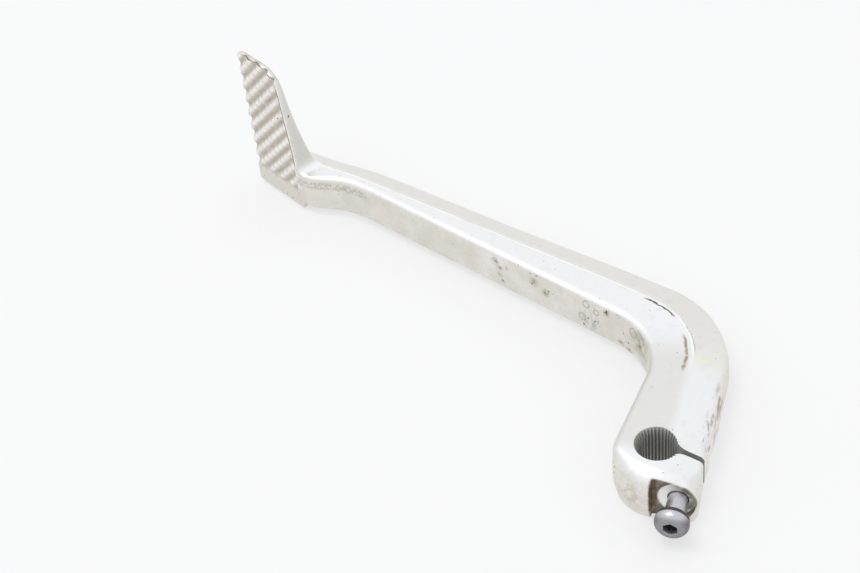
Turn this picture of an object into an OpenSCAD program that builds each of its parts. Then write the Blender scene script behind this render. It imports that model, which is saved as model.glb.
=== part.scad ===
// Motorcycle gear shift lever. One bent forging carries a serrated clamp eye at
// one end and a ribbed toe plate at the other. A button head bolt closes the
// clamp over a spring lock washer.
//
// Millimetres. The origin is on the axis of the serrated bore, in the plane of
// the clamp's inboard face. +Z runs along the bore towards the toe plate's free
// end, +X along the clamp slot and +Y from the clamp up the short leg.

/* [Clamp] */
// Height of the clamp eye along the shift shaft
clamp_h = 17; // [16:0.5:18]
// Radius of the round eye
eye_r = 14; // [13.5:0.25:14.5]
// X position of the eye's outside centre
eye_x = 1.2; // [1:0.1:1.4]
// Distance from the bore axis to the clamp's bolted front
front_y = 14.7; // [14.5:0.1:15]
// Distance from the bore axis to the slotted side
jaw_x = 15.2; // [15:0.1:15.6]
// Radius of the upright corner beside the bolt
jaw_corner_r = 5; // [3:0.5:6]

/* [Serrated bore] */
// Number of serrations
spline_count = 36; // [30:1:40]
// Radius to the lands between the serrations
spline_land_r = 5.85; // [5.75:0.05:5.85]
// Radius to the bottom of the serrations
spline_root_r = 6.65; // [6.5:0.05:6.8]
// Width of one serration where it leaves the land
spline_groove_w = 0.58; // [0.5:0.02:0.6]
// Width of the clamp slot
slot_w = 1.8; // [1.4:0.1:2.2]

/* [Pinch bolt] */
// Distance from the bore axis to the bolt axis
bolt_x = 8.8; // [8.8:0.05:8.9]
// Nominal diameter of the bolt thread
bolt_d = 6; // [5.8:0.1:6]
// Length of the bolt under its head
bolt_len = 25; // [24:0.5:26]
// Diameter of the button head
head_d = 10.5; // [10:0.1:10.5]
// Height of the button head
head_h = 3.3; // [3:0.1:3.5]
// Width across the flats of the hexagon socket
socket_af = 4; // [4:0.1:4.2]
// Depth of the hexagon socket
socket_depth = 2.2; // [1.8:0.1:2.4]
// How far the bolt stands unscrewed from its tight position
bolt_backed_out = 7; // [5:0.5:8]
// Diameter of the clearance hole in the near jaw
clearance_d = 6.5; // [6.4:0.05:6.6]
// Diameter of the threaded hole in the far jaw
tapped_d = 6.1; // [6.1:0.02:6.16]
// Depth of the threaded hole beyond the bore axis
tapped_depth = 14; // [13:0.5:16]
// Depth of the recess that the bolt head seats in
recess_depth = 2.2; // [1.5:0.1:2.5]

/* [Lock washer] */
// Outside diameter of the spring lock washer
washer_d = 9.9; // [9.5:0.1:10.2]
// Thickness of the spring lock washer
washer_t = 1.6; // [1.4:0.1:1.8]
// Width of the washer's split
washer_gap = 1; // [0.8:0.1:1.4]

/* [Leg and arm] */
// Height of the clamp's inboard face below the arm's underside
boss_step = 2; // [1:0.5:3]
// Outside radius of the bend
bend_r = 38.5; // [37:0.5:40]
// Inside radius of the bend
inner_bend_r = 25; // [22:0.5:26]
// Direction of the arm's far side, measured from the slot direction
arm_angle = 160; // [159:0.5:161]
// Direction of the arm's near side, which makes the arm taper
near_angle = 156.3; // [156:0.1:156.6]
// Width of the sloping facet along the outside of leg and arm
facet_w = 10.8; // [10:0.2:11.4]
// Slope of that facet
facet_slope = 22; // [18:1:25]

/* [Toe plate] */
// Height of the toe plate's free end above the clamp's inboard face
plate_top = 58.3; // [54:0.5:60]
// Width of the toe plate at its foot
plate_w = 25.7; // [25:0.1:26]
// Thickness of the toe plate at its free end
plate_tip_t = 2.5; // [2.2:0.1:3]
// Thickness of the toe plate at its foot
plate_foot_t = 8; // [7:0.5:8.5]
// Radius of the free corner on the bend's side
plate_corner_r = 9; // [7:0.5:10]
// Distance between the grip grooves, measured up the plate
groove_pitch = 6.1; // [5.8:0.1:6.6]
// Depth of the grip grooves
groove_depth = 1.1; // [0.8:0.1:1.2]

/* [Hidden] */
round_fn = 96;
bend_steps = 14;
over = 1;                                  // how far a cutter reaches past the metal
bolt_z = clamp_h / 2;
seat_y = -(front_y - recess_depth);        // plane that the washer is pulled against
head_y = seat_y - bolt_backed_out - washer_t;
bend_centre = [-24, 35];
ridge_r = bend_r - facet_w;
leg_in_top = [-9.2, 29.7];                 // where the leg's inner side meets the inside bend
inner_centre = leg_in_top - [inner_bend_r, 0];
plate_origin = [-174.5, 116];              // foot of the plate's free upright edge
plate_turn = -31.5;                        // direction of the plate's foot
plate_front = -0.5;                        // ribbed face, proud of the foot's own line
arm_out_len = 136;                         // straight length of the arm's far side
groove_slope = 45;
groove_count = 11;
groove_w = 3;                              // width of a groove at the ribbed face
groove_floor_w = 0.7;                      // width of a groove at its bottom
groove_flare = 0.8;                        // slope of a groove's walls
groove_span = 60;                          // longer than the widest groove
groove_first = clamp_h - 24.3;             // height of the lowest groove at the free edge
grip_foot = clamp_h - 10.3;                // the grooves stop above this height
grip_border = 1.6;                         // plain border along the bend's side
foot_lap = 0.4;                            // how far the arm's end is buried in the plate
foot_side_lap = 2;                         // the same, beside the bend's side of the plate
foot_side = 10;                            // how far the plate's foot spreads beyond its width
recess_toward_bore = 2.8;                  // recess beyond the bolt head, towards the bore
recess_outward = 0.15;                     // recess beyond the bolt head, away from the bore
recess_roof = 1.5;                         // metal left over the recess
boss_inset = 0.4;                          // step in from the eye to the inboard face
boss_side = [jaw_x - 0.3, 8];              // outer corner of the inboard face
groove_root_lap = 0.4;                     // how far a serration cutter reaches into the bore
land_edge = 0.05;                          // width of the break between land and serration
head_rim_h = 0.5;                          // upright rim of the button head
thread_chamfer = 0.8;
washer_clearance = 0.14;                   // between the washer's hole and the thread

function polar(r, a) = [r * cos(a), r * sin(a)];
function arc(centre, r, from, to, steps) =
    [for (i = [0 : steps]) centre + polar(r, from + (to - from) * i / steps)];

// Plan of the whole forging, counter-clockwise from the corner beside the bolt.
eye_centre = [eye_x, eye_r - front_y];
jaw_corner = [jaw_x - jaw_corner_r, jaw_corner_r - front_y];
far_start = bend_centre + polar(bend_r, arm_angle - 90);
far_end = far_start + polar(arm_out_len, arm_angle);

module plan() {
    polygon(concat(
        arc(jaw_corner, jaw_corner_r, -90, 0, 6),
        arc(bend_centre, bend_r, 0, arm_angle - 90, bend_steps),
        [far_end],
        neck_outline(),
        arc(inner_centre, inner_bend_r, near_angle - 90, 0, 12),
        arc(eye_centre, eye_r, 173, 270, 16)
    ));
}

// The neck, from the arm's far side round the plate's foot to its near side.
function plate_point(w, t) =
    plate_origin + [w * cos(plate_turn) - t * sin(plate_turn), w * sin(plate_turn) + t * cos(plate_turn)];
function neck_outline() = [
    plate_point(14, plate_foot_t + 5),
    plate_point(5, plate_foot_t + 1.5),
    plate_point(foot_lap, plate_foot_t - 0.6),
    plate_point(foot_lap, foot_lap),
    plate_point(plate_w - foot_side_lap, foot_lap),
    [-149, 100.3],
    [-142, 101.2],
    [-135.5, 101.4]
];

// Everything above the sloping facet on the outside of the leg, bend and arm: a
// section swept along the ridge, each station being [centre, direction].
module facet_cut() {
    reach = facet_w + 4;
    section = [
        [ridge_r, clamp_h],
        [ridge_r + reach, clamp_h - reach * tan(facet_slope)],
        [ridge_r + reach, clamp_h + over],
        [ridge_r, clamp_h + over]
    ];
    turn = arm_angle - 90;
    stations = concat(
        [[bend_centre - [0, bend_centre.y + front_y + over], 0]],
        [for (i = [0 : bend_steps]) [bend_centre, turn * i / bend_steps]],
        [[bend_centre + polar(arm_out_len + 30, arm_angle), turn]]
    );
    last = len(stations) - 1;
    points = [for (s = stations, p = section) [each s[0] + polar(p[0], s[1]), p[1]]];
    sides = [for (i = [0 : last - 1], j = [0 : 3])
        [4 * i + j, 4 * i + (j + 1) % 4, 4 * i + 4 + (j + 1) % 4, 4 * i + 4 + j]];
    polyhedron(points, concat([[0, 3, 2, 1]], sides, [[4 * last, 4 * last + 1, 4 * last + 2, 4 * last + 3]]));
}

module clamp_boss() {
    linear_extrude(boss_step + over)
        polygon(concat(
            arc(jaw_corner, jaw_corner_r, -90, 0, 6),
            [boss_side],
            arc(eye_centre, eye_r - boss_inset, 50, 270, 22)
        ));
}

module serrated_bore() {
    translate([0, 0, -over])
        cylinder(r = spline_land_r, h = clamp_h + 2 * over, $fn = round_fn);
    for (i = [0 : spline_count - 1])
        rotate([0, 0, (i + 0.5) * 360 / spline_count])
            translate([0, 0, -over])
                linear_extrude(clamp_h + 2 * over)
                    polygon([
                        [spline_land_r - groove_root_lap, -spline_groove_w / 2],
                        [spline_land_r - land_edge, -spline_groove_w / 2],
                        [spline_root_r, 0],
                        [spline_land_r - land_edge, spline_groove_w / 2],
                        [spline_land_r - groove_root_lap, spline_groove_w / 2]
                    ]);
}

module clamp_cuts() {
    serrated_bore();
    translate([0, -slot_w / 2, -over])
        cube([jaw_x + over, slot_w, clamp_h + 2 * over]);
    translate([bolt_x, 0, bolt_z])
        rotate([90, 0, 0])
            cylinder(d = clearance_d, h = front_y + over, $fn = round_fn);
    translate([bolt_x, 0, bolt_z])
        rotate([-90, 0, 0])
            cylinder(d = tapped_d, h = tapped_depth, $fn = round_fn);
    translate([bolt_x - head_d / 2 - recess_toward_bore, -front_y - over, -over])
        cube([
            head_d + recess_toward_bore + recess_outward,
            recess_depth + over,
            clamp_h - recess_roof + over
        ]);
}

// Upright outline of the toe plate, seen from its ribbed side.
module plate_outline() {
    polygon(concat(
        [[0, boss_step], [plate_w, boss_step], [plate_w + 6, clamp_h - over]],
        [[plate_w + 3, clamp_h + 1.3], [plate_w + 0.8, clamp_h + 3.6], [plate_w, clamp_h + 7]],
        arc([plate_w - 2.7 - plate_corner_r, plate_top - plate_corner_r], plate_corner_r, 8, 90, 9),
        arc([2.5, plate_top - 2.5], 2.5, 90, 180, 5)
    ));
}

// Thickness of the toe plate against its height.
module plate_profile() {
    polygon([
        [plate_front, boss_step],
        [plate_foot_t, boss_step],
        [plate_foot_t, clamp_h],
        [plate_foot_t - 0.8, clamp_h + 4],
        [plate_front + plate_tip_t, plate_top],
        [plate_front, plate_top]
    ]);
}

module grip_groove() {
    rotate([90, 0, 90])
        linear_extrude(groove_span, center = true)
            polygon([
                [-over, -groove_w / 2 - over * groove_flare],
                [-over, groove_w / 2 + over * groove_flare],
                [groove_depth, groove_floor_w / 2],
                [groove_depth, -groove_floor_w / 2]
            ]);
}

module grip_grooves() {
    intersection() {
        translate([-over, -over + plate_front, grip_foot])
            cube([plate_w - grip_border + over, 4, plate_top]);
        for (i = [0 : groove_count - 1])
            translate([0, plate_front, groove_first + i * groove_pitch])
                rotate([0, -groove_slope, 0])
                    grip_groove();
    }
}

module toe_plate() {
    translate(plate_origin)
        rotate([0, 0, plate_turn])
            difference() {
                intersection() {
                    rotate([90, 0, 0])
                        translate([0, 0, -20])
                            linear_extrude(40)
                                plate_outline();
                    rotate([90, 0, 90])
                        translate([0, 0, -over])
                            linear_extrude(plate_w + foot_side)
                                plate_profile();
                }
                grip_grooves();
            }
}

module lever_body() {
    color("silver")
        difference() {
            union() {
                difference() {
                    translate([0, 0, boss_step])
                        linear_extrude(clamp_h - boss_step)
                            plan();
                    facet_cut();
                }
                clamp_boss();
                toe_plate();
            }
            clamp_cuts();
        }
}

// Half section of the bolt, from its axis outwards, with its head's seat at zero.
module bolt_section() {
    flat_r = head_d / 4;
    dome_run = head_d / 2 - flat_r;
    dome_h = head_h - head_rim_h;
    polygon(concat(
        [[0, -head_h], [flat_r, -head_h]],
        [for (i = [1 : 6])
            [flat_r + dome_run * sin(15 * i), -head_rim_h - dome_h * cos(15 * i)]],
        [[head_d / 2, 0], [bolt_d / 2, 0], [bolt_d / 2, bolt_len - thread_chamfer]],
        [[bolt_d / 2 - thread_chamfer, bolt_len], [0, bolt_len]]
    ));
}

module pinch_bolt() {
    color("dimgray")
        translate([bolt_x, head_y, bolt_z])
            rotate([-90, 0, 0])
                difference() {
                    rotate_extrude($fn = round_fn)
                        bolt_section();
                    translate([0, 0, -head_h - over])
                        cylinder(d = socket_af / cos(30), h = socket_depth + over, $fn = 6);
                }
}

module lock_washer() {
    color("gray")
        translate([bolt_x, head_y, bolt_z])
            rotate([-90, 0, 0])
                difference() {
                    cylinder(d = washer_d, h = washer_t, $fn = round_fn);
                    translate([0, 0, -over])
                        cylinder(d = bolt_d + washer_clearance, h = washer_t + 2 * over, $fn = round_fn);
                    translate([0, -washer_gap / 2, -over])
                        cube([washer_d, washer_gap, washer_t + 2 * over]);
                }
}

lever_body();
pinch_bolt();
lock_washer();
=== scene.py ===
import math

import bmesh
import bpy
import numpy as np
from mathutils import Matrix, Vector

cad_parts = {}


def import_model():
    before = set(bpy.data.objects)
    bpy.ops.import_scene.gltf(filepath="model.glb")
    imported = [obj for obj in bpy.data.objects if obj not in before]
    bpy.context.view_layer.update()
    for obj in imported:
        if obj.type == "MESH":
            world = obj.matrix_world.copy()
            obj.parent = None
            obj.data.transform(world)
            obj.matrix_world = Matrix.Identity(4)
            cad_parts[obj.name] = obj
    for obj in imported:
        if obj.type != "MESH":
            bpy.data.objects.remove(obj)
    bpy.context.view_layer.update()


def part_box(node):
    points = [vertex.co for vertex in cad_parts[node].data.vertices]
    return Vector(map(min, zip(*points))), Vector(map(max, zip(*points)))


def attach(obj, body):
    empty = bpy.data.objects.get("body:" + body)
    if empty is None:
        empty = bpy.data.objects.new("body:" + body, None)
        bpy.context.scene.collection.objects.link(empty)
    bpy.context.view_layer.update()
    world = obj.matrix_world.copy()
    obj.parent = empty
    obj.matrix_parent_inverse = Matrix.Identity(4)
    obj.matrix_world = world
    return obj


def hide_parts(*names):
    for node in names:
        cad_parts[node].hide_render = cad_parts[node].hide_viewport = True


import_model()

MM = 0.001


def box_mm(node):
    low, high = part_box(node)
    return np.array(low) / MM, np.array(high) / MM


# ---- Driving dimensions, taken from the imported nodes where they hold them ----
lever_low, lever_high = box_mm("lever_body")
bolt_low, bolt_high = box_mm("pinch_bolt")
washer_low, washer_high = box_mm("lock_washer")

PLATE_TOP = lever_high[2]
JAW_X = lever_high[0]                                  # slotted side of the clamp
FRONT_Y = -lever_low[1]                                # bolted front of the clamp
BOLT_X, BOLT_Z = (bolt_low[0] + bolt_high[0]) / 2, (bolt_low[2] + bolt_high[2]) / 2
CLAMP_H = 2 * BOLT_Z
HEAD_R = (bolt_high[2] - bolt_low[2]) / 2
SEAT_Y = washer_low[1]                                 # underside of the bolt head
WASHER_T = washer_high[1] - washer_low[1]
WASHER_R = (washer_high[2] - washer_low[2]) / 2

BORE_LAND_R, BORE_ROOT_R = 5.85, 6.65
SERRATIONS, SERRATION_W = 36, 0.58
SLOT_W = 1.8
BOLT_R, THREAD_PITCH = 3.0, 1.0
CLEARANCE_R, TAPPED_R = 3.25, 3.05                     # the bolt's holes in the near and far jaw
TAPPED_END, DRILL_POINT = 14.0, 1.6
POCKET_FLOOR = -12.5                                   # y of the plane that the bolt's head seats on
SEAT_FACE_R, SEAT_FACE_DEPTH = 6.1, 0.25               # spot-faced ring for the bolt's head
SOCKET_AF, SOCKET_DEPTH = 4.0, 2.15                    # the bolt's hexagon socket
THREAD_DEPTH, THREAD_START = 0.55, 9.5                 # the thread starts this far under the head
CROWN_R = 2.75                                         # where the head's dome meets its flat crown

UNDERSIDE = 2.0                                        # the arm's underside over the clamp's
PARTING_Z = 8.0                                        # the forging's widest height
BOSS_TOP = 8.0                                         # height to which the clamp's boss is filled
DRAFT = math.tan(math.radians(3.5))
PLAN_SPREAD = 0.35                                     # the outline is drawn this much too small
BEND = np.array([-24.0, 35.0])                         # centre of the outside bend
BEND_R = 38.65
BEND_SWELL = 1.8                                       # the far wall's bulge after the bend
ARM_TURN = 70.0                                        # how far the outside bend turns
NEAR_TURN = 66.3                                       # how far the inside bend turns
INNER_BEND_R = 25.0
EYE = np.array([1.2, 14.0 - FRONT_Y])                  # centre of the clamp's round outside
EYE_R, JAW_CORNER_R = 14.0, 3.0
FACET_SLOPE = math.radians(22)
RIDGE = 27.6                                           # from the bend's centre to the ridge
NEAR_EDGE_R, FAR_EDGE_R, FRONT_EDGE_R = 2.3, 1.4, 6.0  # rounding of the top edges
UNDER_EDGE_R, JAW_EDGE_R = 2.0, 0.6                    # rounding of the lower edges

PLATE_ORIGIN = np.array([-174.5, 116.0])               # foot of the plate's free upright edge
PLATE_TURN = math.radians(-31.5)
PLATE_U = np.array([math.cos(PLATE_TURN), math.sin(PLATE_TURN)])
PLATE_N = np.array([-math.sin(PLATE_TURN), math.cos(PLATE_TURN)])
PLATE_W = 25.7
PLATE_FACE = -0.5                                      # ribbed face, proud of the foot's own line
RIB_PITCH, RIB_DEPTH = 6.1, 1.25                       # the pitch is measured up the plate
RIB_SHIFT = -1.1                                       # a groove's height over the clamp, at the free edge
BEAD_PITCH, BEAD_DEPTH = 3.9, 0.55                     # notches along each rib


# ---- Outlines and their distance fields ----
def smoothstep(low, high, v):
    t = np.clip((v - low) / (high - low), 0, 1)
    return t * t * (3 - 2 * t)


def polar(radius, degrees):
    turn = math.radians(degrees)
    return np.array([radius * math.cos(turn), radius * math.sin(turn)])


def arc(centre, radius, start, end, step=2.0):
    count = max(2, int(abs(end - start) / step))
    return [np.array(centre) + polar(radius, a) for a in np.linspace(start, end, count + 1)]


def plate_point(w, t):
    return PLATE_ORIGIN + w * PLATE_U + t * PLATE_N


def forging_outline():
    """Plan of the forging at its parting line, counter-clockwise from the jaw's corner."""
    along, out = polar(1, 90 + ARM_TURN), polar(1, ARM_TURN)
    far_start = BEND + polar(BEND_R, ARM_TURN)
    far_end = far_start + 112 * along
    turns = np.linspace(0, ARM_TURN, 36)
    bend = [BEND + polar(BEND_R + BEND_SWELL * smoothstep(20, 62, a), a) for a in turns]
    inner = np.array([-34.2, 29.7])
    corner = [JAW_X - 0.8 - JAW_CORNER_R, JAW_CORNER_R - FRONT_Y]
    return np.array(
        arc(corner, JAW_CORNER_R, -90, 0)
        + [(JAW_X - 0.95, -7.0), (JAW_X - 1.45, -1.5), (JAW_X - 1.4, 1.2), (JAW_X - 0.8, 5.0)]
        + [(JAW_X - 0.25, 9.5), (JAW_X - 0.15, 16.0), (JAW_X - 0.4, 24.0)]
        + bend
        + [far_start + 18 * along + 1.3 * out, far_start + 40 * along + 0.6 * out]
        + [far_start + 62 * along]
        + [far_end, far_end + polar(12, 163.5), far_end + polar(25, 167)]
        + [plate_point(7, 10.2), plate_point(1.5, 7.6), plate_point(0.4, 6.6)]
        + [plate_point(0.4, -0.1), plate_point(27.0, -0.1), plate_point(29.0, 0.15)]
        + [plate_point(31.2, 0.9), plate_point(33.6, 2.2), plate_point(36.2, 4.0)]
        + [plate_point(39.0, 5.95), plate_point(42.0, 7.6), plate_point(45.5, 8.9)]
        + [plate_point(50.0, 9.9), plate_point(56.0, 10.8)]
        + arc(inner, INNER_BEND_R, NEAR_TURN, 0)
        + arc(EYE, EYE_R, 173, 270)
    )


def boss_outline():
    """Plan of the machined inboard face, a step inside the clamp's own outline."""
    step = 0.6
    corner_r = JAW_CORNER_R - step
    return np.array(
        arc([JAW_X - 3.8, JAW_CORNER_R - FRONT_Y], corner_r, -90, 0)
        + [(JAW_X - 1.5, 3.0), (JAW_X - 1.0, 8.0)]
        + arc(EYE, EYE_R - step, 50, 270)
    )


def plate_outline():
    """Outline of the toe plate, as (distance along its foot, height)."""
    corner_r, tip_r, foot = 9.0, 2.5, CLAMP_H
    return np.array(
        [[0, UNDERSIDE - 1], [PLATE_W + 1.0, UNDERSIDE - 1], [PLATE_W + 0.5, foot - 8]]
        + [[PLATE_W + 0.5, foot + 2], [PLATE_W, foot + 9]]
        + arc([PLATE_W - 2.6 - corner_r, PLATE_TOP - corner_r], corner_r, 6, 90, 6)
        + arc([tip_r, PLATE_TOP - tip_r], tip_r, 90, 180, 10)
    )


class FlatField:
    """Signed distance to a closed outline, negative inside, read back from a fine grid."""

    def __init__(self, outline, margin=8.0, pitch=0.3):
        self.low, self.pitch = outline.min(0) - margin, pitch
        counts = np.ceil((outline.max(0) + margin - self.low) / pitch).astype(int) + 1
        steps = [self.low[k] + pitch * np.arange(counts[k]) for k in (0, 1)]
        px, py = np.meshgrid(*steps, indexing="ij")
        best, inside = np.full(px.shape, 1e9), np.zeros(px.shape, bool)
        for (ax, ay), (bx, by) in zip(outline, np.roll(outline, -1, axis=0)):
            ex, ey = bx - ax, by - ay
            along = np.clip(((px - ax) * ex + (py - ay) * ey) / (ex * ex + ey * ey), 0, 1)
            best = np.minimum(best, (px - ax - along * ex) ** 2 + (py - ay - along * ey) ** 2)
            if ay != by:
                inside ^= ((ay > py) != (by > py)) & (px < ex * (py - ay) / ey + ax)
        self.values = np.where(inside, -1, 1) * np.sqrt(best)

    def __call__(self, x, y):
        gx = np.clip((x - self.low[0]) / self.pitch, 0, self.values.shape[0] - 1.001)
        gy = np.clip((y - self.low[1]) / self.pitch, 0, self.values.shape[1] - 1.001)
        ix, iy = gx.astype(int), gy.astype(int)
        fx, fy = gx - ix, gy - iy
        v = self.values
        low = v[ix, iy] * (1 - fx) + v[ix + 1, iy] * fx
        high = v[ix, iy + 1] * (1 - fx) + v[ix + 1, iy + 1] * fx
        return low * (1 - fy) + high * fy


# ---- Joining distance fields ----
def common(a, b, r):
    """Intersection of two solids, the edge between them rounded to r."""
    return np.minimum(-r, np.maximum(a, b)) + np.hypot(np.maximum(a + r, 0), np.maximum(b + r, 0))


def joined(a, b, r):
    """Union of two solids, the corner between them filleted to r."""
    return np.maximum(r, np.minimum(a, b)) - np.hypot(np.maximum(r - a, 0), np.maximum(r - b, 0))


def soft_max(a, b, k):
    """The larger of two planes, blended over a difference of k."""
    h = np.maximum(k - np.abs(a - b), 0) / k
    return np.maximum(a, b) + h * h * k / 4


# ---- The lever's shape, as one distance field ----
forging_plan = FlatField(forging_outline())
boss_plan = FlatField(boss_outline())
plate_face = FlatField(plate_outline(), pitch=0.2)


def spine_radius(x, y):
    """Distance from the bend's centre, carried straight on along leg and arm."""
    dx, dy = x - BEND[0], y - BEND[1]
    direction = polar(1, ARM_TURN)
    beyond = (-dx * direction[1] + dy * direction[0]) > 0
    bent = np.hypot(dx, dy)
    return np.where(y < BEND[1], dx, np.where(beyond, dx * direction[0] + dy * direction[1], bent))


def beyond_ridge(x, y):
    """How far a point lies outside the ridge between the flat top and the facet."""
    ridge = RIDGE + 1.2 * smoothstep(10, -35, x) - 1.6 * smoothstep(-125, -150, x)
    return spine_radius(x, y) - ridge


def forging(x, y, z):
    """Clamp, leg, bend and arm: drafted walls under a flat top with a sloping facet."""
    neck = smoothstep(-138, -148, x)
    above, below = np.clip(z - PARTING_Z, 0, None), np.clip(PARTING_Z - z, 0, None)
    lean = 0.24 * smoothstep(6, 12, x) * smoothstep(-1, 7, y) * smoothstep(44, 32, y)
    draft = (DRAFT + lean) * (1 - smoothstep(9, 12, x) * smoothstep(5, 0, y))
    side = forging_plan(x, y) + draft * (below + above * (1 - neck)) - PLAN_SPREAD
    ridge = beyond_ridge(x, y)
    slope = ((z - CLAMP_H) + math.tan(FACET_SLOPE) * ridge) * math.cos(FACET_SLOPE)
    fade = smoothstep(20, 4, y) * smoothstep(-20, 0, x)
    top = soft_max(z - CLAMP_H, slope, 0.12 + 1.6 * fade)
    front = smoothstep(-3, -10, y)
    outer = smoothstep(1, 5, ridge)
    edge = NEAR_EDGE_R + (FAR_EDGE_R - NEAR_EDGE_R) * outer - 0.7 * neck * (1 - outer)
    solid = common(side, top, edge + (FRONT_EDGE_R - edge) * front)
    jaw = smoothstep(9, 12, x) * smoothstep(6, 1, y)
    solid = common(solid, UNDERSIDE - z, UNDER_EDGE_R + (JAW_EDGE_R - UNDER_EDGE_R) * jaw)
    boss = common(common(boss_plan(x, y), -z, 0.5), z - BOSS_TOP, 0.5)
    return joined(solid, boss, 0.6)


def plate_axes(x, y):
    """(distance along the toe plate's foot, distance behind the foot's line)."""
    dx, dy = x - PLATE_ORIGIN[0], y - PLATE_ORIGIN[1]
    return dx * PLATE_U[0] + dy * PLATE_U[1], dx * PLATE_N[0] + dy * PLATE_N[1]


def rib_profile(w, z):
    """(depth of the ribbed face under its crests, share of that depth)."""
    across = (z - w - CLAMP_H - RIB_SHIFT) / RIB_PITCH
    lobe = np.abs(across - np.round(across)) * 2            # 0 in a groove, 1 on a crest
    groove = 1 - smoothstep(0.0, 0.85, lobe)
    notch = 0.5 + 0.5 * np.cos(2 * math.pi * (w + z) / math.sqrt(2) / BEAD_PITCH)
    inside = -plate_face(w, z) + 8 * smoothstep(PLATE_W - 3, PLATE_W - 9, w)
    border = smoothstep(0.8, 2.0, inside)
    foot = smoothstep(CLAMP_H - 10.7, CLAMP_H - 9.4, z)
    depth = RIB_DEPTH * groove + BEAD_DEPTH * notch * (1 - groove)
    return depth * border * foot, groove * border * foot


def toe_plate(x, y, z):
    """The upright plate, before its ribs: thin at the free end and thick at the foot."""
    w, t = plate_axes(x, y)
    drop = np.clip(PLATE_TOP - z, 0, PLATE_TOP - CLAMP_H)
    thickness = 2.05 + 0.03 * drop + 0.0029 * drop ** 2
    solid = common(plate_face(w, z), PLATE_FACE - t, 0.4)
    return common(solid, (t - thickness) * 0.97, 1.0)


def bolt_recess(x, y, z):
    """The pocket for the bolt's head in the clamp's front, open below."""
    left, right = 0.9, BOLT_X + HEAD_R + 0.12
    roof = CLAMP_H - 1.7 - 0.1 * (x - left)
    post = soft_max(np.zeros_like(z), 0.8 * (6.5 - z), 1.0)  # the jaw is wider below the head
    pocket = common(left - x - 0.1 * (-FRONT_Y - y), z - roof, 0.5)
    pocket = common(pocket, x - right + post, 3.6)
    off_axis = np.hypot(x - BOLT_X, z - BOLT_Z)
    seat = SEAT_FACE_DEPTH * smoothstep(SEAT_FACE_R + 0.15, SEAT_FACE_R - 0.15, off_axis)
    return common(pocket, y - POCKET_FLOOR - seat, 0.25)


def lever_field(p):
    """Signed distance to the whole lever, before its machined bore, slot and holes."""
    x, y, z = p[:, 0], p[:, 1], p[:, 2]
    w, t = plate_axes(x, y)
    body = joined(forging(x, y, z), toe_plate(x, y, z), 0.3 + 3.4 * smoothstep(12, 16, z))
    depth, _ = rib_profile(w, z)
    face = depth + PLATE_FACE - t - 60 * smoothstep(30, 60, w)  # only as far as the plate reaches
    body = common(body, np.maximum(face, forging_plan(x, y) - 0.4), 0.35)
    return common(body, -bolt_recess(x, y, z), 0.45)


# ---- From a distance field to a mesh ----
BLOCK = 8


def graded(stops):
    """Grid coordinates through stops of (coordinate, spacing from there on), a whole number of blocks."""
    values = [np.arange(a, b, step) for (a, step), (b, _) in zip(stops, stops[1:])]
    values = np.concatenate(values + [np.array([stops[-1][0]])])
    short = -len(values) % BLOCK
    return np.concatenate([values, values[-1] + stops[-1][1] * np.arange(1, short + 1)])


def sampled(field, axes):
    """The field on the grid, worked out only in the blocks that the surface may cross."""
    counts = [len(a) // BLOCK for a in axes]
    lows = [a.reshape(-1, BLOCK)[:, 0] for a in axes]
    highs = [np.append(a[BLOCK::BLOCK], a[-1]) for a in axes]
    middles = np.stack(np.meshgrid(*[(a + b) / 2 for a, b in zip(lows, highs)], indexing="ij"), -1)
    halves = np.stack(np.meshgrid(*[(b - a) / 2 for a, b in zip(lows, highs)], indexing="ij"), -1)
    rough = field(middles.reshape(-1, 3)).reshape(counts)
    near = np.abs(rough) < np.linalg.norm(halves, axis=-1) * 1.15 + 1.8
    values = np.empty([counts[0], counts[1], counts[2], BLOCK, BLOCK, BLOCK], np.float32)
    values[:] = np.sign(rough)[..., None, None, None]
    steps = [a.reshape(-1, BLOCK) for a in axes]
    where = np.argwhere(near)
    for part in np.array_split(where, max(1, len(where) // 800)):
        gx, gy, gz = (steps[k][part[:, k]] for k in range(3))
        shape = (len(part), BLOCK, BLOCK, BLOCK)
        points = np.stack([
            np.broadcast_to(gx[:, :, None, None], shape),
            np.broadcast_to(gy[:, None, :, None], shape),
            np.broadcast_to(gz[:, None, None, :], shape),
        ], -1).reshape(-1, 3)
        values[part[:, 0], part[:, 1], part[:, 2]] = field(points).reshape(shape)
    return values.transpose(0, 3, 1, 4, 2, 5).reshape([len(a) for a in axes])


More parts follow.
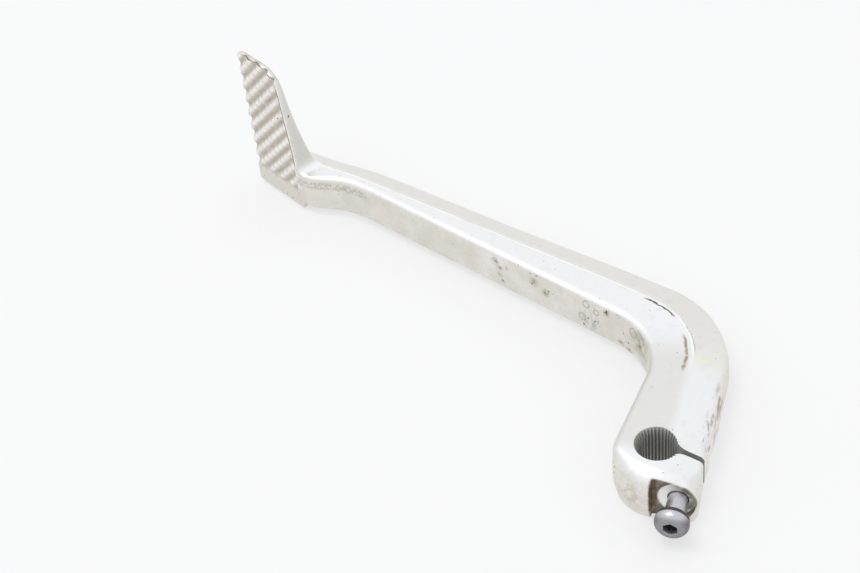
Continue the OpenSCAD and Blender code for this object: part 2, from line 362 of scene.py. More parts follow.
def surface_net(field, axes, rounds=3):
    """Vertices and quads of the field's zero surface, the vertices pulled exactly onto it."""
    values = sampled(field, axes)
    inside = values < 0

    # one vertex in every cell that the surface crosses, at the middle of its crossings
    corners = [(i, j, k) for i in (0, 1) for j in (0, 1) for k in (0, 1)]
    shape = tuple(n - 1 for n in inside.shape)
    count = np.zeros(shape, np.int8)
    for i, j, k in corners:
        count += inside[i:i + shape[0], j:j + shape[1], k:k + shape[2]]
    cells = np.argwhere((count > 0) & (count < 8))
    number = np.full(shape, -1, np.int32)
    number[tuple(cells.T)] = np.arange(len(cells))
    at = {c: values[tuple((cells + c).T)] for c in corners}
    total, hits = np.zeros((len(cells), 3)), np.zeros(len(cells))
    for c in corners:
        for axis in range(3):
            if c[axis] == 0:
                d = tuple(1 if k == axis else c[k] for k in range(3))
                cross = (at[c] < 0) != (at[d] < 0)
                share = np.where(cross, at[c] / np.where(cross, at[c] - at[d], 1), 0)
                point = np.tile(np.array(c, float), (len(cells), 1))
                point[:, axis] = share
                total += point * cross[:, None]
                hits += cross
    local = total / hits[:, None]
    points = np.empty_like(local)
    size = np.empty_like(local)
    for k in range(3):
        low, high = axes[k][cells[:, k]], axes[k][cells[:, k] + 1]
        points[:, k], size[:, k] = low + (high - low) * local[:, k], high - low

    # one quad round every grid edge that the surface crosses
    quads = []
    for axis in range(3):
        b, c = (axis + 1) % 3, (axis + 2) % 3
        lead = [slice(1, -1)] * 3
        lead[axis] = slice(0, -1)
        after = list(lead)
        after[axis] = slice(1, None)
        first, second = inside[tuple(lead)], inside[tuple(after)]
        edges = np.argwhere(first != second)
        flip = first[tuple(edges.T)]
        edges = edges + [0 if k == axis else 1 for k in range(3)]
        step_b, step_c = np.eye(3, dtype=int)[b], np.eye(3, dtype=int)[c]
        offsets = (step_b + step_c, step_c, np.zeros(3, int), step_b)
        ring = np.stack([number[tuple((edges - o).T)] for o in offsets], 1)
        quads.append(np.where(flip[:, None], ring, ring[:, ::-1]))
    quads = np.concatenate(quads)

    # Newton steps onto the surface
    reach, probe = size.min(1), 0.02
    for _ in range(rounds):
        here = field(points)
        slope = np.empty_like(points)
        for k in range(3):
            step = np.zeros(3)
            step[k] = probe
            slope[:, k] = (field(points + step) - field(points - step)) / (2 * probe)
        steep = np.maximum((slope ** 2).sum(1), 0.25)
        move = -(here / steep)[:, None] * slope
        length = np.maximum(np.linalg.norm(move, axis=1), 1e-9)
        points += move * np.minimum(1, 0.5 * reach / length)[:, None]
    return points, quads


def new_object(name, points, faces, materials=()):
    mesh = bpy.data.meshes.new(name)
    mesh.from_pydata((np.asarray(points) * MM).tolist(), [], [list(map(int, f)) for f in faces])
    mesh.update()
    made = bpy.data.objects.new(name, mesh)
    bpy.context.scene.collection.objects.link(made)
    for material in materials:
        mesh.materials.append(material)
    return made


def rings_object(name, rings, materials=()):
    """A closed solid lofted through rings of equally many points, its first and last ring capped."""
    count = len(rings[0])
    faces = []
    for i in range(len(rings) - 1):
        for j in range(count):
            a, b = i * count + j, i * count + (j + 1) % count
            faces.append((a, b, b + count, a + count))
    faces.append(range(count - 1, -1, -1))
    faces.append(range((len(rings) - 1) * count, len(rings) * count))
    return new_object(name, np.concatenate(rings), faces, materials)


# ---- Node helpers ----
class Nodes:
    """A material being built: every call adds one node and gives back its output."""

    def __init__(self, name):
        self.material = bpy.data.materials.new(name)
        self.material.use_nodes = True
        self.tree = self.material.node_tree
        self.shader = self.tree.nodes["Principled BSDF"]
        place = self.add("ShaderNodeTexCoord").outputs["Object"]
        self.mm = self.vector("MULTIPLY", place, (1 / MM,) * 3)

    def add(self, kind, **settings):
        node = self.tree.nodes.new(kind)
        for key, value in settings.items():
            setattr(node, key, value)
        return node

    def put(self, socket, value):
        if isinstance(value, bpy.types.NodeSocket):
            self.tree.links.new(value, socket)
        elif value is not None:
            socket.default_value = value

    def math(self, operation, a, b=None, c=None, clamp=False):
        node = self.add("ShaderNodeMath", operation=operation, use_clamp=clamp)
        for socket, value in zip(node.inputs, (a, b, c)):
            self.put(socket, value)
        return node.outputs[0]

    def vector(self, operation, a, b=None):
        node = self.add("ShaderNodeVectorMath", operation=operation)
        self.put(node.inputs[0], a)
        self.put(node.inputs[1], b)
        return node.outputs["Value" if operation in ("LENGTH", "DOT_PRODUCT", "DISTANCE") else "Vector"]

    def noise(self, size, detail=3.0, rough=0.55, stretch=None, shift=(0, 0, 0)):
        """Noise from 0 to 1 with features about size mm across, drawn out by stretch."""
        scale = [1 / size / s for s in (stretch or (1, 1, 1))]
        node = self.add("ShaderNodeTexNoise", normalize=True)
        place = self.vector("ADD", self.vector("MULTIPLY", self.mm, scale), shift)
        self.put(node.inputs["Vector"], place)
        self.put(node.inputs["Scale"], 1.0)
        self.put(node.inputs["Detail"], detail)
        self.put(node.inputs["Roughness"], rough)
        return node.outputs[0]

    def cells(self, size, shift=(0, 0, 0)):
        """Distance to the nearest of points scattered about size mm apart, in units of size."""
        node = self.add("ShaderNodeTexVoronoi", feature="F1")
        self.put(node.inputs["Vector"], self.vector("ADD", self.mm, shift))
        self.put(node.inputs["Scale"], 1 / size)
        return node.outputs["Distance"]

    def between(self, value, low, high):
        """0 below low, 1 above high, smooth between; low may be the larger."""
        node = self.add("ShaderNodeMapRange", interpolation_type="SMOOTHSTEP")
        flip = low > high
        self.put(node.inputs["Value"], value)
        self.put(node.inputs["From Min"], min(low, high))
        self.put(node.inputs["From Max"], max(low, high))
        self.put(node.inputs["To Min"], 1.0 if flip else 0.0)
        self.put(node.inputs["To Max"], 0.0 if flip else 1.0)
        return node.outputs[0]

    def band(self, value, middle, core, reach):
        """1 within core of middle, 0 beyond reach of it."""
        return self.between(self.math("ABSOLUTE", self.math("SUBTRACT", value, middle)), reach, core)

    def times(self, *values):
        out = values[0]
        for v in values[1:]:
            out = self.math("MULTIPLY", out, v)
        return out

    def mix(self, share, a, b):
        node = self.add("ShaderNodeMix", data_type="RGBA")
        self.put(node.inputs[0], share)
        for socket, value in ((node.inputs[6], a), (node.inputs[7], b)):
            self.put(socket, (*value, 1.0) if isinstance(value, tuple) else value)
        return node.outputs[2]

    def attribute(self, name):
        return self.add("ShaderNodeAttribute", attribute_name=name).outputs["Fac"]

    def axis(self, index, of=None):
        node = self.add("ShaderNodeSeparateXYZ")
        self.put(node.inputs[0], of or self.mm)
        return node.outputs[index]

    def normal_axis(self, index):
        return self.axis(index, self.add("ShaderNodeNewGeometry").outputs["Normal"])

    def near_point(self, point, radius, soft=0.6):
        """1 around a point of the lever, fading out at radius mm."""
        gap = self.vector("DISTANCE", self.mm, point)
        return self.between(gap, radius, radius * (1 - soft))

    def off_bolt_axis(self):
        """Distance from the pinch bolt's axis."""
        offset = self.vector("SUBTRACT", self.mm, (BOLT_X, 0.0, BOLT_Z))
        return self.vector("LENGTH", self.vector("MULTIPLY", offset, (1.0, 0.0, 1.0)))

    def finish(self, colour, roughness, bumps, metallic=1.0):
        """Wire up the shader; bumps is a list of (height, distance in mm, strength)."""
        self.put(self.shader.inputs["Base Color"], colour)
        self.put(self.shader.inputs["Roughness"], roughness)
        self.put(self.shader.inputs["Metallic"], metallic)
        normal = None
        for height, distance, strength in bumps:
            bump = self.add("ShaderNodeBump")
            self.put(bump.inputs["Height"], height)
            bump.inputs["Distance"].default_value = distance * MM
            bump.inputs["Strength"].default_value = strength
            if normal is not None:
                self.put(bump.inputs["Normal"], normal)
            normal = bump.outputs[0]
        if normal is not None:
            self.put(self.shader.inputs["Normal"], normal)
        return self.material


# ---- Marks on the alloy, each placed on the part ----
# Dirt along the ridge: (beyond the ridge, half width, faded out at, middle, span, shade, share)
DIRT_LINES = [
    (-1.0, 0.12, 0.48, (-10.8, 58.4, 17), 7.4, (0.10, 0.08, 0.065), 0.95),
    (-2.1, 0.22, 0.75, (1.2, 39.4, 17), 9.0, (0.34, 0.25, 0.16), 0.85),
    (0.38, 0.06, 0.24, (0.4, 46.5, 17), 8.5, (0.36, 0.34, 0.32), 0.65),
]
# Clusters of small pits on the walls: (middle, reach)
PIT_CLUSTERS = [
    ((-66, 71, 14), 7.5), ((-55, 66, 12.5), 3.5), ((-50.7, 64, 10.6), 3.0), ((-35, 57.4, 9), 6.5),
    ((-27.3, 54.1, 14.9), 2.4), ((-22, 51.5, 5), 5.0), ((-96, 83.5, 9), 3.5),
]
# Soft brown blots with a dark core: (middle, radius)
BLOTS = [
    ((-70.2, 72.9, 13.7), 1.5), ((-68.5, 72.0, 11.7), 0.9), ((-65.6, 70.9, 12.7), 0.8),
    ((-68.7, 72.0, 8.5), 0.9), ((-67.5, 71.6, 6.1), 0.7), ((-55.0, 66.2, 12.8), 1.5),
    ((-50.7, 64.1, 10.5), 1.4), ((-27.5, 54.1, 14.6), 1.1), ((-22.5, 51.8, 5.2), 1.0),
    ((-19.0, 49.8, 4.0), 1.2), ((-14.6, 45.2, 11.0), 1.3),
]
# Rings left by dried drops: (middle, radius)
DROP_RINGS = [
    ((-35.1, 57.5, 14.2), 1.25), ((-36.6, 57.8, 8.3), 1.4), ((-31.4, 55.7, 12.7), 1.0),
    ((-17.3, 48.5, 13.2), 1.7),
]


class Alloy(Nodes):
    """Bare tumbled aluminium: pale on top, warmer and dirtier down the walls, stained here and there."""

    def __init__(self, name):
        super().__init__(name)
        self.x, self.y, self.z = self.axis(0), self.axis(1), self.axis(2)
        self.wall = self.between(self.math("ABSOLUTE", self.normal_axis(2)), 0.85, 0.35)
        self.broad, self.fine = self.noise(22, 4), self.noise(3.5, 5, 0.6, shift=(7, 3, 1))
        self.mottle = self.noise(0.9, 5, 0.7, shift=(4, 4, 4))
        self.patches = self.noise(2.1, 5, 0.65, shift=(9, 1, 6))
        self.ridge, self.groove = self.attribute("ridge"), self.attribute("groove")
        self.outline, self.recess = self.attribute("outline"), self.attribute("recess")
        from_plate = self.vector("SUBTRACT", self.mm, (*PLATE_ORIGIN, 0.0))
        self.across = self.vector("DOT_PRODUCT", from_plate, (*PLATE_N, 0.0))
        self.width = self.vector("DOT_PRODUCT", from_plate, (*PLATE_U, 0.0))
        self.colour = self.mix(self.broad, (0.845, 0.86, 0.875), (0.895, 0.895, 0.885))

    def paint(self, shade, share, *masks):
        """Lay a shade over the colour so far, at its full share where every mask is 1."""
        self.colour = self.mix(self.times(*masks, share), self.colour, shade)

    def along(self, value, start, full, end, gone):
        """1 between full and end, fading to 0 at start and at gone."""
        return self.times(self.between(value, start, full), self.between(value, gone, end))

    def metal(self):
        """The facet's and the leg's own tones, and the duller, mottled walls."""
        facet = self.times(self.between(self.ridge, -0.1, 0.5), self.between(self.z, 19.5, 18))
        self.paint((0.83, 0.82, 0.785), 1.0, facet, self.between(self.y, 30, 42))
        handled = self.times(self.along(self.y, -6, 0, 34, 50), self.between(self.ridge, 1.5, -2.5))
        self.paint((0.765, 0.755, 0.73), 1.0, handled, self.between(self.broad, 0.0, 0.45))
        self.paint((0.76, 0.735, 0.685), 1.0, self.wall, self.between(self.broad, 0.1, 0.7))
        self.paint((0.66, 0.64, 0.60), 0.25, self.between(self.fine, 0.5, 0.75))
        self.paint((0.52, 0.50, 0.45), 0.30, self.between(self.mottle, 0.52, 0.68), self.wall)
        cloudy = self.between(self.noise(7, 4, 0.6, shift=(6, 1, 3)), 0.35, 0.65)
        near_wall = self.times(self.wall, self.between(self.ridge, 0, -3), self.between(self.x, 0, -8))
        self.paint((0.66, 0.64, 0.555), 0.5, near_wall, cloudy, self.between(self.x, -150, -130))

    def ridge_marks(self):
        """A painted highlight along the ridge between flat top and facet, a fainter painted highlight
        beside it, and dirt along it.
        """
        top = self.between(self.z, 18.6, 17.4)
        # painted highlight along the ridge's rounding, broken up in patches by this noise
        wear_and_sheen = self.between(self.noise(9, 2), 0.25, 0.5)
        crest = self.times(self.band(self.ridge, 0.0, 0.3, 0.65), self.between(self.y, 30, 46))
        self.paint((0.99, 0.99, 0.985), 0.9, crest, wear_and_sheen, top)
        # painted highlight: a fainter second bright line just outside the ridge
        second = self.times(self.band(self.ridge, 1.6, 0.1, 0.4), self.between(self.x, -6, -14))
        self.paint((0.96, 0.96, 0.95), 0.5, second, top)
        uneven = self.between(self.noise(1.6, 4, 0.6), 0.30, 0.44)
        swing = self.math("SUBTRACT", self.noise(2.4, 3, 0.6, shift=(8, 2, 5)), 0.5)
        wander = self.math("ADD", self.ridge, self.times(swing, 1.6))
        for offset, core, reach, middle, span, shade, share in DIRT_LINES:
            here = self.near_point(middle, span, 0.35)
            self.paint(shade, share, self.band(wander, offset, core, reach), here, uneven)

    def toe_plate(self):
        """Tan grooves, pale crests that are partly wear and partly painted highlight, painted shade between
        the beads, and a dark line where the ribbed face meets the side.
        """
        face = self.times(self.between(self.across, 1.2, 0.7), self.between(self.outline, 0.1, -0.1))
        face = self.times(face, self.between(self.width, 29, 27))
        side = self.times(self.between(self.z, 18.5, 22), self.between(self.across, 0.0, 0.4))
        self.paint((0.70, 0.685, 0.66), 0.7, side)
        self.paint((0.84, 0.825, 0.79), 0.5, face)
        self.paint((0.515, 0.465, 0.38), 0.75, self.groove, self.between(self.fine, 0.05, 0.6))
        # painted shade in the valleys between the beads along each rib
        along = self.times(self.math("ADD", self.width, self.z), math.pi / math.sqrt(2) / BEAD_PITCH)
        valley = self.between(self.math("ABSOLUTE", self.math("SINE", along)), 0.75, 0.15)
        self.paint((0.56, 0.50, 0.42), 0.4, valley, face, self.between(self.z, 7, 8.5))
        # crests whitened in patches: partly wear, partly painted highlight
        wear_and_sheen = self.times(self.between(self.groove, 0.25, 0.0), face, self.between(self.mottle, 0.4, 0.6))
        self.paint((0.96, 0.955, 0.94), 0.7, wear_and_sheen, self.between(self.z, 8.5, 10.5))
        foot = self.times(self.between(self.across, 1.6, 1.0), self.between(self.width, 30, 28))
        self.paint((0.70, 0.68, 0.625), 0.85, foot, self.between(self.z, 10.0, 8.0))
        seam = self.times(self.band(self.outline, -0.55, 0.12, 0.30), self.between(self.across, 1.2, 0.6))
        seam = self.times(seam, self.between(self.z, 18, 21), self.between(self.width, 2, 5))
        self.paint((0.10, 0.085, 0.075), 0.92, seam, self.between(self.noise(2.6, 3), 0.22, 0.36))

    def pits(self):
        """Mask of the dark pits: in clusters, at the ribs' ends, and as lone specks."""
        zone = self.times(self.between(self.noise(16, 2, shift=(3, 9, 4)), 0.56, 0.7), 0.6)
        for middle, span in PIT_CLUSTERS:
            zone = self.math("MAXIMUM", zone, self.near_point(middle, span))
        wobble = self.times(self.noise(0.7, 3, 0.6, shift=(1, 8, 2)), 0.55)
        ragged = self.math("ADD", self.cells(2.3), wobble)
        clustered = self.times(self.between(ragged, 0.46, 0.38), self.between(zone, 0.2, 0.5))
        clustered = self.times(clustered, self.wall, 0.85)
        ends = self.times(self.between(self.cells(1.15, shift=(5, 5, 5)), 0.24, 0.12),
                          self.band(self.outline, -1.35, 0.5, 1.1))
        ends = self.times(ends, self.between(self.across, 0.3, -0.1), self.between(self.width, 8, 14))
        specks = self.times(self.between(self.cells(2.9, shift=(1, 2, 3)), 0.075, 0.04), 0.7)
        return self.math("MAXIMUM", self.math("MAXIMUM", clustered, ends), specks)

    def stains(self):
        """Blots, rings, corrosion in the inner bend, drips, scuffs and streaks; gives the corrosion."""
        smear = self.math("SUBTRACT", self.noise(1.1, 4, 0.65, shift=(2, 7, 9)), 0.5)
        smear = self.times(smear, 3.4)
        for middle, radius in BLOTS:
            gap = self.math("ADD", self.vector("DISTANCE", self.mm, middle), smear)
            self.paint((0.42, 0.37, 0.27), 0.55, self.between(gap, radius * 1.7, radius * 0.3))
            self.paint((0.15, 0.12, 0.085), 0.65, self.between(gap, radius * 0.6, radius * 0.1))
        for middle, radius in DROP_RINGS:
            ring = self.band(self.vector("DISTANCE", self.mm, middle), radius, 0.08, 0.38)
            self.paint((0.34, 0.29, 0.22), 0.6, ring, self.between(self.mottle, 0.3, 0.5))

        corrosion = self.times(self.near_point((-14.0, 44.6, 12.0), 9.5, 0.9),
                               self.between(self.patches, 0.34, 0.54), self.wall)
        self.paint((0.38, 0.355, 0.265), 0.62, corrosion)
        runs = self.between(self.noise(1.4, 4, stretch=(1, 1, 3)), 0.44, 0.58)
        self.paint((0.36, 0.36, 0.36), 0.55, self.near_point((-33.8, 56.6, 7.5), 5.5, 0.8), runs, self.wall)

        scuff = self.times(self.along(self.z, 11.6, 12.6, 14.6, 15.6), self.between(self.x, -122, -127))
        scuff = self.times(scuff, self.between(self.x, -156, -152), self.between(self.ridge, -1, -3))
        rubbed = self.between(self.noise(0.8, 5, 0.75), 0.42, 0.60)
        self.paint((0.34, 0.32, 0.30), 0.6, scuff, self.wall, rubbed)
        smudge = self.between(self.noise(1.2, 4, stretch=(3, 1, 1)), 0.42, 0.6)
        self.paint((0.95, 0.89, 0.58), 0.6, self.near_point((6.4, 38.6, 15.8), 3.4, 0.9), smudge)

        streak = self.times(self.along(self.y, 2, 7, 26, 34), self.along(self.z, 8.0, 10.5, 12.8, 14.6))
        drawn = self.between(self.noise(1.5, 4, stretch=(1, 4, 1)), 0.47, 0.62)
        self.paint((0.35, 0.25, 0.235), 0.7, streak, self.between(self.x, 10.5, 12.5), drawn)
        grime = self.times(self.near_point((-5.0, -13.0, 8.0), 7.5, 0.8), self.wall)
        self.paint((0.50, 0.43, 0.33), 0.5, grime, self.between(self.patches, 0.44, 0.60))
        return corrosion

    def pocket(self):
        """The bolt's pocket: cast-in dirt and painted shade around a spot-faced seat, painted bright on its
        left and shaded on its right; gives the dirt and shade.
        """
        off_axis = self.off_bolt_axis()
        # dirt, together with painted shade under the pocket's overhanging roof
        pocket_dirt_and_shade = self.times(self.recess, self.between(off_axis, SEAT_FACE_R - 0.1, SEAT_FACE_R + 0.25))
        self.paint((0.22, 0.20, 0.155), 0.95, pocket_dirt_and_shade, self.between(self.fine, 0.1, 0.5))
        # painted light: the spot-faced seat is brightened only on the bolt's left side
        faced = self.times(self.recess, self.between(off_axis, SEAT_FACE_R - 0.1, SEAT_FACE_R - 0.4))
        self.paint((0.98, 0.98, 0.97), 0.8, faced, self.between(self.x, BOLT_X, BOLT_X - 2.5))
        # painted shade over the pocket right of the bolt, patchy with noise
        shade_beside_bolt = self.times(self.recess, self.between(self.x, BOLT_X - 1.5, BOLT_X + 2.0))
        self.paint((0.22, 0.205, 0.17), 0.85, shade_beside_bolt, self.between(self.patches, 0.3, 0.55))
        rusty = self.times(pocket_dirt_and_shade, self.between(self.x, 2.9, 1.9))
        self.paint((0.22, 0.15, 0.09), 0.9, rusty, self.between(self.patches, 0.4, 0.5))
        return pocket_dirt_and_shade


def alloy_material():
    n = Alloy("lever_alloy")
    n.metal()
    n.ridge_marks()
    n.toe_plate()
    dark = n.pits()
    corrosion = n.stains()
    pocket_dirt_and_shade = n.pocket()
    n.paint((0.12, 0.09, 0.07), 1.0, dark)

    roughness = n.math("ADD", 0.30, n.times(n.fine, 0.12))
    roughness = n.math("ADD", roughness, n.times(n.wall, 0.08))
    roughness = n.math("ADD", roughness, n.times(n.math("MAXIMUM", n.groove, dark), 0.3))
    roughness = n.math("ADD", roughness, n.times(n.math("MAXIMUM", pocket_dirt_and_shade, corrosion), 0.25), clamp=True)
    bumps = [
        (n.noise(0.35, 3, 0.6), 0.05, 0.35),
        (n.noise(4.0, 3, 0.5, shift=(2, 2, 2)), 0.12, 0.5),
        (n.math("SUBTRACT", 1.0, dark), 0.18, 0.8),
    ]
    return n.finish(n.colour, roughness, bumps)


def bore_material():
    """The machined surfaces: grey and greasy in the serrations, slot and holes."""
    n = Nodes("machined_alloy")
    soil = n.noise(1.4, 4, 0.6, stretch=(1, 1, 5))
    colour = n.mix(soil, (0.31, 0.31, 0.29), (0.49, 0.49, 0.46))
    colour = n.mix(n.times(n.between(n.noise(0.6, 3), 0.55, 0.7), 0.5), colour, (0.16, 0.14, 0.12))
    roughness = n.math("ADD", 0.40, n.times(soil, 0.2))
    bumps = [(n.noise(0.5, 4, stretch=(1, 1, 12)), 0.04, 0.5)]
    return n.finish(colour, roughness, bumps, metallic=0.35)


def bolt_material():
    """Blued steel: a painted highlight high on the head, painted shade low down, round the head's rim and
    in the socket.
    """
    n = Nodes("bolt_steel")
    tone, fine = n.noise(3.0, 4), n.noise(0.5, 4, 0.65)
    up = n.normal_axis(2)
    colour = n.mix(tone, (0.26, 0.255, 0.285), (0.38, 0.375, 0.41))
    # painted highlight on the upward-facing parts of the bolt
    colour = n.mix(n.times(n.between(up, 0.25, 0.8), 0.6), colour, (0.74, 0.735, 0.78))
    # painted shade on the downward-facing parts of the bolt
    colour = n.mix(n.times(n.between(up, 0.15, -0.65), 0.8), colour, (0.17, 0.155, 0.155))
    # painted shade round the sides and lower rim of the head
    rim = n.times(n.between(n.off_bolt_axis(), 3.5, 5.1), n.between(n.axis(1), SEAT_Y + 2, SEAT_Y))
    rim = n.times(rim, n.between(up, 0.80, 0.3))
    colour = n.mix(n.times(rim, n.between(tone, 0.15, 0.5), 0.85), colour, (0.16, 0.15, 0.16))
    colour = n.mix(n.times(n.between(fine, 0.54, 0.70), 0.55), colour, (0.20, 0.17, 0.15))
    # painted shade inside the hexagon socket
    socket = n.attribute("socket")
    colour = n.mix(n.times(socket, 0.95), colour, (0.03, 0.025, 0.025))
    roughness = n.math("ADD", n.math("ADD", 0.31, n.times(fine, 0.16)), n.times(socket, 0.4))
    return n.finish(colour, roughness, [(fine, 0.03, 0.5), (tone, 0.05, 0.4)])


def washer_material():
    """Dark oiled spring steel with a little rust."""
    n = Nodes("washer_steel")
    tone = n.noise(1.6, 4)
    colour = n.mix(tone, (0.055, 0.052, 0.055), (0.13, 0.12, 0.115))
    colour = n.mix(n.times(n.between(n.noise(0.7, 3), 0.56, 0.7), 0.6), colour, (0.16, 0.09, 0.05))
    roughness = n.math("ADD", 0.38, n.times(tone, 0.2))
    return n.finish(colour, roughness, [(n.noise(0.4, 3), 0.03, 0.5)])


def floor_material():
    """A pale light table: part of its brightness is its own, so shadows stay faint."""
    n = Nodes("floor")
    tone = n.noise(140, 3)
    colour = n.mix(tone, (0.31, 0.31, 0.315), (0.33, 0.33, 0.33))
    n.shader.inputs["Emission Color"].default_value = (1.0, 1.0, 1.0, 1.0)
    n.shader.inputs["Emission Strength"].default_value = 0.56
    return n.finish(colour, 0.75, [(n.noise(2.0, 3), 0.05, 0.3)], metallic=0.0)


# ---- Lever ----
ROUND = np.linspace(0, 2 * math.pi, 72, endpoint=False)


def circle_ring(radius, z):
    """A ring of points about +Z; the radius is one number, or one for each direction in ROUND."""
    return np.stack([radius * np.cos(ROUND), radius * np.sin(ROUND), np.full(len(ROUND), z)], 1)


def on_bolt_axis(rings, start=0.0):
    """Rings about +Z, laid along +Y on the bolt's axis from y = start."""
    return [np.stack([BOLT_X + r[:, 0], start + r[:, 2], BOLT_Z - r[:, 1]], 1) for r in rings]


def serration_ring(cone, z):
    """One turn of the serrated bore's section, opened out to at least the cone's radius."""
    half = SERRATION_W / 2 / BORE_LAND_R
    pitch = 2 * math.pi / SERRATIONS
    section = [(-pitch / 2, BORE_LAND_R), (-half, BORE_LAND_R), (0, BORE_ROOT_R), (half, BORE_LAND_R)]
    points = []
    for i in range(SERRATIONS):
        middle = (i + 0.5) * pitch
        for turn, radius in section:
            reach = max(radius, cone)
            points.append([reach * math.cos(middle + turn), reach * math.sin(middle + turn), z])
    return np.array(points)


def bore_cutter(materials):
    """The serrated bore, with its mouths rounded off above and below."""
    cone = [(7.3, -0.6), (6.8, 0.0), (6.55, 0.25), (6.3, 0.7), (5.8, 1.9)]
    levels = cone + [(r, CLAMP_H - z) for r, z in reversed(cone)]
    return rings_object("bore_cutter", [serration_ring(r, z) for r, z in levels], materials)


def slot_cutter(materials):
    """The clamp slot, flared where it opens into the bore."""
    half = SLOT_W / 2
    flare = [(4.2, 2.9), (5.6, 2.35), (6.4, 1.75), (7.1, 1.3), (8.0, 1.02), (9.2, half)]
    flare.append((JAW_X + 3, half))
    outline = [(x, -y) for x, y in flare] + [(x, y) for x, y in reversed(flare)]
    rings = [np.array([[x, y, z] for x, y in outline]) for z in (-1.5, CLAMP_H + 1.5)]
    return rings_object("slot_cutter", rings, materials)


def hole_cutter(name, radius, start, end, materials, drill_point=0.0):
    """A round hole along +Y on the bolt's axis."""
    rings = [circle_ring(radius, start), circle_ring(radius, end)]
    if drill_point:
        rings.append(circle_ring(0.2, end + drill_point))
    return rings_object(name, on_bolt_axis(rings), materials)


def cut(target, cutters):
    """Take the cutters out of the target; the cut faces keep the cutters' material."""
    for cutter in cutters:
        step = target.modifiers.new(cutter.name, "BOOLEAN")
        step.operation, step.solver, step.object = "DIFFERENCE", "EXACT", cutter
        step.material_mode = "TRANSFER"
    graph = bpy.context.evaluated_depsgraph_get()
    made = bpy.data.meshes.new_from_object(target.evaluated_get(graph))
    target.modifiers.clear()
    target.data = made
    for cutter in cutters:
        bpy.data.objects.remove(cutter)


def mark_sharp(mesh, cut_index, degrees=28):
    """Smooth shading, with crisp edges only around and within the faces that were cut."""
    bm = bmesh.new()
    bm.from_mesh(mesh)
    limit = math.radians(degrees)
    for face in bm.faces:
        face.smooth = True
    for edge in bm.edges:
        kinds = {f.material_index for f in edge.link_faces}
        if cut_index in kinds and edge.calc_face_angle(0) > limit:
            edge.smooth = False
    bm.to_mesh(mesh)
    bm.free()


def set_attribute(mesh, name, values):
    layer = mesh.attributes.new(name, "FLOAT", "POINT")
    layer.data.foreach_set("value", np.asarray(values, np.float32))


def vertices_mm(mesh):
    flat = np.empty(len(mesh.vertices) * 3)
    mesh.vertices.foreach_get("co", flat)
    return flat.reshape(-1, 3) / MM


def lever(materials):
    """The forging, its machined features, and the attributes that its material reads."""
    fine, coarse = 0.3, 0.62
    axes = [
        graded([(-177.2, fine), (-146.0, coarse), (-15.0, 0.5), (18.0, 0.5)]),
        graded([(-17.5, 0.5), (20.0, coarse), (99.0, fine), (125.0, fine)]),
        graded([(-0.8, 0.4), (4.0, 0.5), (13.0, 0.38), (19.0, fine), (60.0, fine)]),
    ]
    points, quads = surface_net(lever_field, axes)
    made = new_object("lever", points, quads, materials)
    cutters = [
        bore_cutter(materials),
        slot_cutter(materials),
        hole_cutter("clearance_cutter", CLEARANCE_R, -FRONT_Y - 3, 0.5, materials),
        hole_cutter("tapped_cutter", TAPPED_R, 0.2, TAPPED_END, materials, drill_point=DRILL_POINT),
    ]
    machined = 1                                             # index of the cut faces' material
    for cutter in cutters:
        for face in cutter.data.polygons:
            face.material_index = machined
    cut(made, cutters)
    mark_sharp(made.data, machined)
    p = vertices_mm(made.data)
    x, y, z = p.T
    w, t = plate_axes(x, y)
    _, groove = rib_profile(w, z)
    on_face = smoothstep(2.2, 0.9, t) * smoothstep(-6, -2, w) * smoothstep(PLATE_W + 3, PLATE_W, w)
    set_attribute(made.data, "groove", groove * on_face)
    set_attribute(made.data, "outline", np.where(x < -130, plate_face(w, z), 9.0))
    set_attribute(made.data, "ridge", beyond_ridge(x, y))
    set_attribute(made.data, "recess", smoothstep(0.5, 0.15, np.abs(bolt_recess(x, y, z))))
    return made


# ---- Pinch bolt and lock washer ----
def hexagon_ring(across_flats, z):
    sector = (ROUND + math.pi / 6) % (math.pi / 3) - math.pi / 6
    return circle_ring(across_flats / 2 / np.cos(sector), z)


def thread_ring(z, end):
    """A ring of the right-hand M6 thread, running out to a plain neck and a chamfered tip."""
    neck_r = BOLT_R - 0.03
    phase = (z / THREAD_PITCH - ROUND / (2 * math.pi)) % 1.0
    lobe = np.abs(phase - 0.5) * 2
    started = smoothstep(THREAD_START - 0.6, THREAD_START + 0.6, z)
    depth = THREAD_DEPTH * smoothstep(0.12, 0.88, lobe) * started
    tip = np.clip(z - (end - 0.9), 0, None) * 0.85
    return circle_ring(np.minimum(neck_r - depth, neck_r - tip), z)


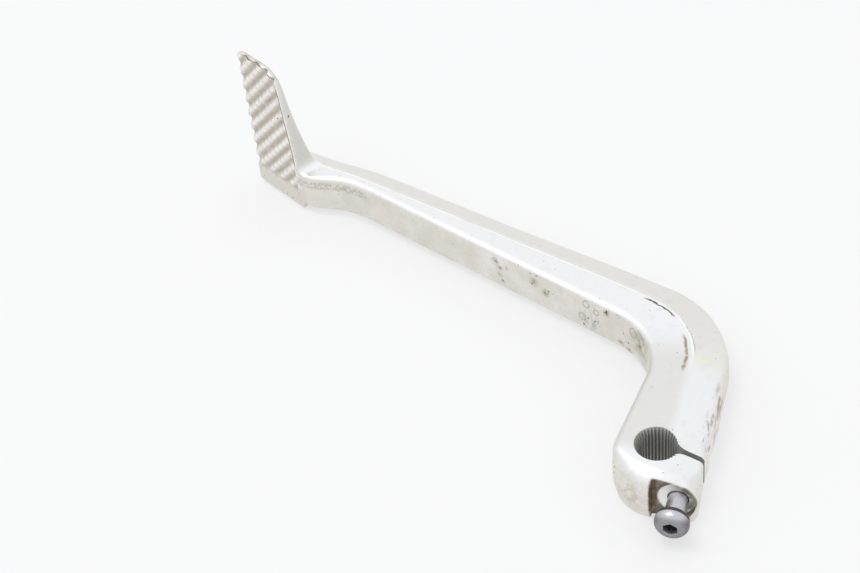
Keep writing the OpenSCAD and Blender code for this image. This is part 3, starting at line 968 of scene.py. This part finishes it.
def bolt(materials):
    """Built with its head's seat at z 0 and its thread upwards, then laid along +Y."""
    head_h = SEAT_Y - bolt_low[1]
    length = bolt_high[1] - SEAT_Y
    socket = [                                               # ring, its size, depth below the crown
        (circle_ring, 0.25, SOCKET_DEPTH + 0.6), (circle_ring, 1.7, SOCKET_DEPTH + 0.2),
        (hexagon_ring, SOCKET_AF - 0.1, SOCKET_DEPTH + 0.15), (hexagon_ring, SOCKET_AF, SOCKET_DEPTH),
        (hexagon_ring, SOCKET_AF, 0.25), (hexagon_ring, SOCKET_AF + 0.25, 0.03),
        (circle_ring, 2.5, 0.0), (circle_ring, CROWN_R, 0.02),
    ]
    rings = [ring(size, depth - head_h) for ring, size, depth in socket]
    rim = 0.55
    for turn in np.radians(np.linspace(10, 84, 12)):
        radius = CROWN_R + (HEAD_R - CROWN_R) * math.sin(turn) * 0.995
        rings.append(circle_ring(radius, -rim - (head_h - rim - 0.02) * math.cos(turn)))
    under = [
        (HEAD_R, 0.1 - rim), (HEAD_R, -0.22), (HEAD_R - 0.07, -0.07), (HEAD_R - 0.25, 0.0),
        (BOLT_R + 0.3, 0.0), (BOLT_R + 0.02, 0.18),
    ]
    rings += [circle_ring(radius, z) for radius, z in under]
    rings += [thread_ring(z, length) for z in np.arange(0.4, length, 0.1)]
    rings += [circle_ring(1.9, length), circle_ring(0.4, length)]
    made = rings_object("bolt", on_bolt_axis(rings, SEAT_Y), materials)
    for face in made.data.polygons:
        face.use_smooth = True
    p = vertices_mm(made.data)
    away = np.hypot(p[:, 0] - BOLT_X, p[:, 2] - BOLT_Z)
    deep = smoothstep(SEAT_Y - head_h + 0.05, SEAT_Y - head_h + 0.5, p[:, 1])
    # the socket's inside, which the bolt's material darkens as painted shade
    inside = smoothstep(2.4, 2.2, away) * deep * (p[:, 1] < SEAT_Y + 0.2)
    set_attribute(made.data, "socket", inside)
    return made


def washer(materials):
    """A split spring washer, its section wound a little along the bolt from end to end."""
    inner, wound = 3.07, 0.28
    half_t, gap = (WASHER_T - wound) / 2, math.radians(7)
    middle, half_w, bevel = (inner + WASHER_R) / 2, (WASHER_R - inner) / 2, 0.18
    flat_w, flat_t = half_w - bevel, half_t - bevel
    section = np.array([
        (half_w, -flat_t), (half_w, flat_t), (flat_w, half_t), (-flat_w, half_t),
        (-half_w, flat_t), (-half_w, -flat_t), (-flat_w, -half_t), (flat_w, -half_t),
    ])
    rings = []
    for share in np.linspace(0, 1, 61):
        turn = gap + (2 * math.pi - 2 * gap) * share
        lift = SEAT_Y + WASHER_T / 2 + wound * (share - 0.5)
        radius = middle + section[:, 0]
        rings.append(np.stack([
            BOLT_X + radius * math.cos(turn), lift + section[:, 1], BOLT_Z + radius * math.sin(turn),
        ], 1))
    return rings_object("washer", rings, materials)


# ---- Stage ----
def floor():
    half, z = 3000.0, -0.02
    corners = [(-half, -half, z), (half, -half, z), (half, half, z), (-half, half, z)]
    new_object("floor", corners, [(0, 1, 2, 3)], [floor_material()])


def area_light(name, place, target, size, power):
    data = bpy.data.lights.new(name, "AREA")
    data.shape, data.size, data.energy = "DISK", size, power
    made = bpy.data.objects.new(name, data)
    made.location = place
    made.rotation_euler = (Vector(target) - Vector(place)).to_track_quat("-Z", "Y").to_euler()
    bpy.context.scene.collection.objects.link(made)


def world():
    """Even studio light, a little brighter overhead than at the sides."""
    made = bpy.data.worlds.new("studio")
    bpy.context.scene.world = made
    made.use_nodes = True
    nodes, links = made.node_tree.nodes, made.node_tree.links
    background = nodes["Background"]
    place = nodes.new("ShaderNodeTexCoord")
    split = nodes.new("ShaderNodeSeparateXYZ")
    ramp = nodes.new("ShaderNodeValToRGB")
    links.new(place.outputs["Generated"], split.inputs[0])
    links.new(split.outputs[2], ramp.inputs[0])
    links.new(ramp.outputs[0], background.inputs["Color"])
    low, high = ramp.color_ramp.elements
    low.position, low.color = 0.0, (0.84, 0.84, 0.83, 1)
    high.position, high.color = 0.65, (1.0, 1.01, 1.03, 1)
    background.inputs["Strength"].default_value = 1.0


def camera():
    """The photograph's own viewpoint, fitted to the clamp, the bore and the outlines."""
    data = bpy.data.cameras.new("camera")
    data.sensor_width, data.lens = 36.0, 71.16
    data.clip_start, data.clip_end = 0.05, 20.0
    made = bpy.data.objects.new("camera", data)
    right = Vector((0.9506, 0.2957, -0.0946)).normalized()
    up = Vector((-0.1311, 0.6584, 0.7411)).normalized()
    back = right.cross(up).normalized()
    up = back.cross(right)
    turn = Matrix((right, up, back)).transposed().to_4x4()
    made.matrix_world = Matrix.Translation(Vector((0.0713, -0.3355, 0.3900))) @ turn
    bpy.context.scene.collection.objects.link(made)
    bpy.context.scene.camera = made


# ---- Put together ----
camera()
world()
floor()
area_light("overhead", (-0.30, -0.05, 0.95), (-0.06, 0.05, 0), 0.5, 1.95)
bpy.context.scene.view_settings.view_transform = "Standard"

lever_piece = lever([alloy_material(), bore_material()])
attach(lever_piece, "lever")
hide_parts("lever_body")

bolt_piece = bolt([bolt_material()])
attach(bolt_piece, "bolt")
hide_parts("pinch_bolt")

washer_piece = washer([washer_material()])
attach(washer_piece, "screw_carrier")
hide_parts("lock_washer")
